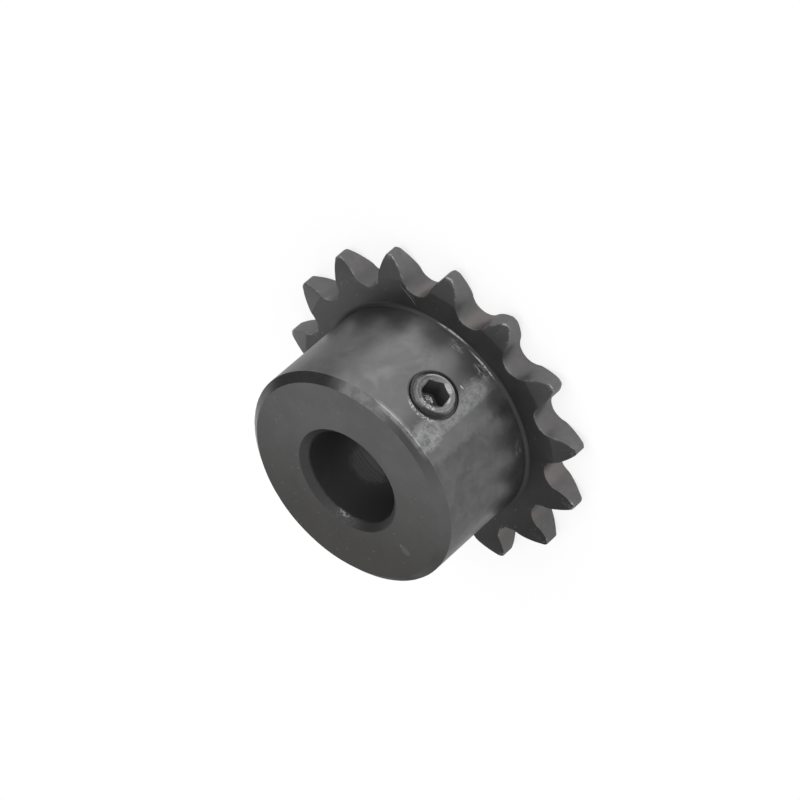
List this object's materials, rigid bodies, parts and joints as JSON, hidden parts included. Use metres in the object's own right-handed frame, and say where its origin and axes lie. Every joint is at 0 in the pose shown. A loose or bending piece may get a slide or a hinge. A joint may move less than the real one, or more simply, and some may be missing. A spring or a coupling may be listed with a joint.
{
  "type": "chain sprocket",
  "caption": "Small steel roller chain sprocket: a toothed plate with a plain hub on one side, a round bore, and a hexagon socket set screw in the hub's wall.",
  "frame": {"origin": "on the bore axis at the back face of the toothed plate", "axes": "+Z along the bore towards the hub's nose, +X through the set screw and the middle of a tooth"},
  "size_m": [0.0336, 0.0338, 0.015],
  "materials": {
    "blackened_steel": "matt to satin black oxide over turned steel, rubbed bright along some edges",
    "screw_steel": "blackened alloy steel, worn on the rim and round the socket"
  },
  "bodies": {
    "root": {"sprocket_body": "blackened_steel", "set_screw": "screw_steel"}
  },
  "joints": []
}
